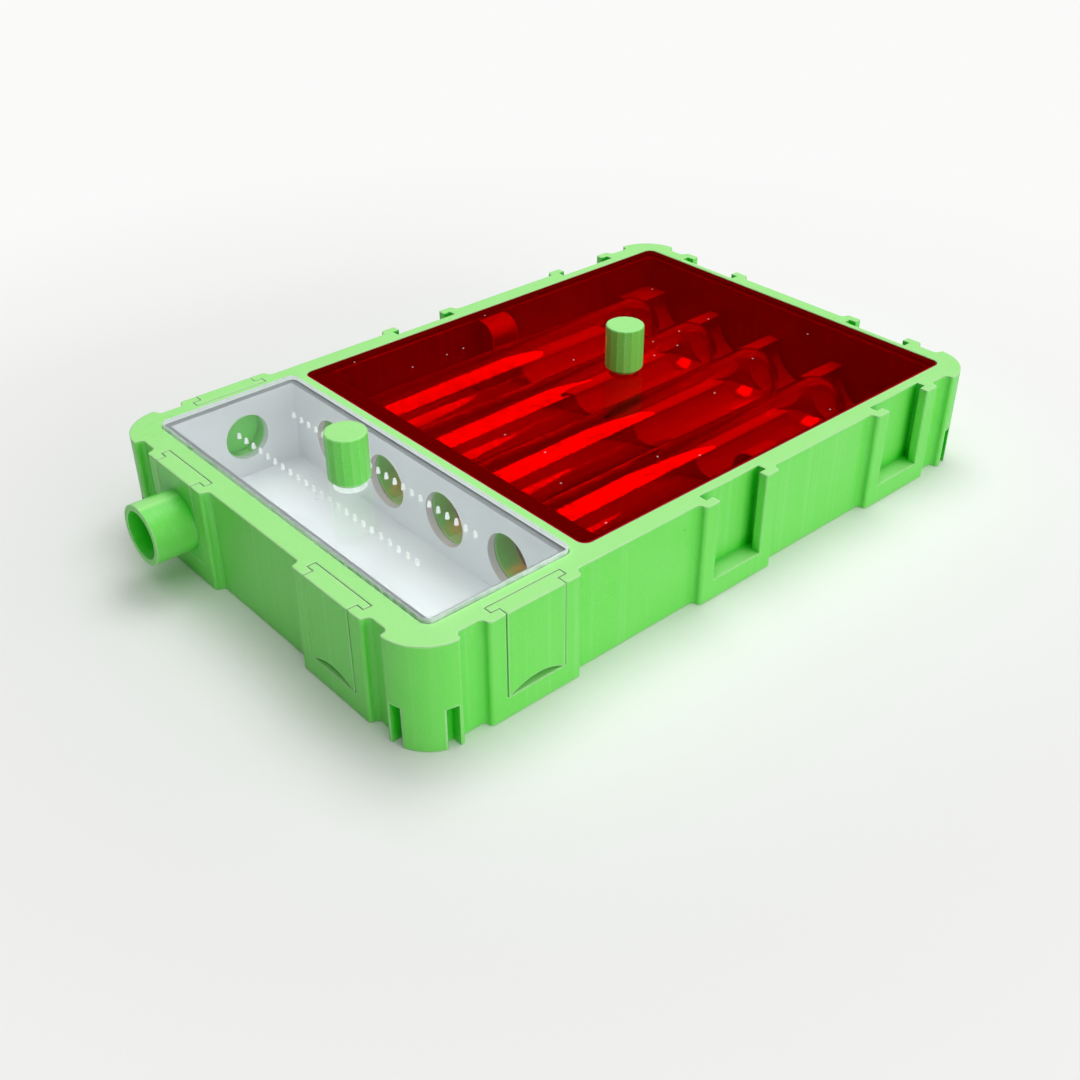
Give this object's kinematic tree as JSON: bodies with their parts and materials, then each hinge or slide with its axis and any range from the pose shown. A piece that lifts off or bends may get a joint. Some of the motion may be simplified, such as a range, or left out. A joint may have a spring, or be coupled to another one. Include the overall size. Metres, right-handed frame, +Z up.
{
  "type": "ant habitat",
  "caption": "Flat modular ant habitat: printed case with side ports, white foraging tray under a clear vented cover, and glass test tube nests under a red cover.",
  "frame": {"origin": "centre of the case's footprint on the plane it stands on", "axes": "+Z up, +Y from the foraging tray and the connector at the front to the nest at the back, +X to the right seen from the front"},
  "size_m": [0.114, 0.1827, 0.0377],
  "materials": {
    "printed_green": "satin light green printed plastic with fine layer lines",
    "tray_white": "smooth white plastic, slightly satin",
    "clear_acrylic": "polished clear acrylic sheet with cut edges",
    "red_acrylic": "polished transparent deep red acrylic sheet",
    "tube_glass": "clear laboratory glass, thin wall"
  },
  "bodies": {
    "case": {"case_body": "printed_green", "foraging_tray": "tray_white"},
    "clear_cover": {"clear_cover": "clear_acrylic"},
    "clear_cover_plug": {"clear_cover_plug": "printed_green"},
    "red_cover": {"red_cover": "red_acrylic"},
    "red_cover_plug": {"red_cover_plug": "printed_green"},
    "test_tube_1": {"test_tube_1": "tube_glass"},
    "test_tube_2": {"test_tube_2": "tube_glass"},
    "test_tube_3": {"test_tube_3": "tube_glass"},
    "test_tube_4": {"test_tube_4": "tube_glass"},
    "connector_plate": {"connector_plate": "printed_green"},
    "blank_plate_front": {"blank_plate_front": "printed_green"},
    "blank_plate_right": {"blank_plate_right": "printed_green"},
    "blank_plate_left": {"blank_plate_left": "printed_green"}
  },
  "joints": [
    {"name": "clear_cover_lift", "type": "slide", "parent": "case", "child": "clear_cover", "axis": [0, 0, 1], "range_m": [0, 0.04]},
    {"name": "clear_plug_pull", "type": "slide", "parent": "clear_cover", "child": "clear_cover_plug", "axis": [0, 0, 1], "range_m": [0, 0.015]},
    {"name": "red_cover_lift", "type": "slide", "parent": "case", "child": "red_cover", "axis": [0, 0, 1], "range_m": [0, 0.04]},
    {"name": "red_plug_pull", "type": "slide", "parent": "red_cover", "child": "red_cover_plug", "axis": [0, 0, 1], "range_m": [0, 0.015]},
    {"name": "connector_plate_slide", "type": "slide", "parent": "case", "child": "connector_plate", "axis": [0, 0, 1], "range_m": [0, 0.021]},
    {"name": "blank_plate_front_slide", "type": "slide", "parent": "case", "child": "blank_plate_front", "axis": [0, 0, 1], "range_m": [0, 0.021]},
    {"name": "blank_plate_right_slide", "type": "slide", "parent": "case", "child": "blank_plate_right", "axis": [0, 0, 1], "range_m": [0, 0.021]},
    {"name": "blank_plate_left_slide", "type": "slide", "parent": "case", "child": "blank_plate_left", "axis": [0, 0, 1], "range_m": [0, 0.021]},
    {"name": "test_tube_1_slide", "type": "slide", "parent": "case", "child": "test_tube_1", "axis": [0, 1, 0], "range_m": [0, 0.0145]},
    {"name": "test_tube_2_slide", "type": "slide", "parent": "case", "child": "test_tube_2", "axis": [0, 1, 0], "range_m": [0, 0.0145]},
    {"name": "test_tube_3_slide", "type": "slide", "parent": "case", "child": "test_tube_3", "axis": [0, 1, 0], "range_m": [0, 0.0145]},
    {"name": "test_tube_4_slide", "type": "slide", "parent": "case", "child": "test_tube_4", "axis": [0, 1, 0], "range_m": [0, 0.0145]}
  ]
}
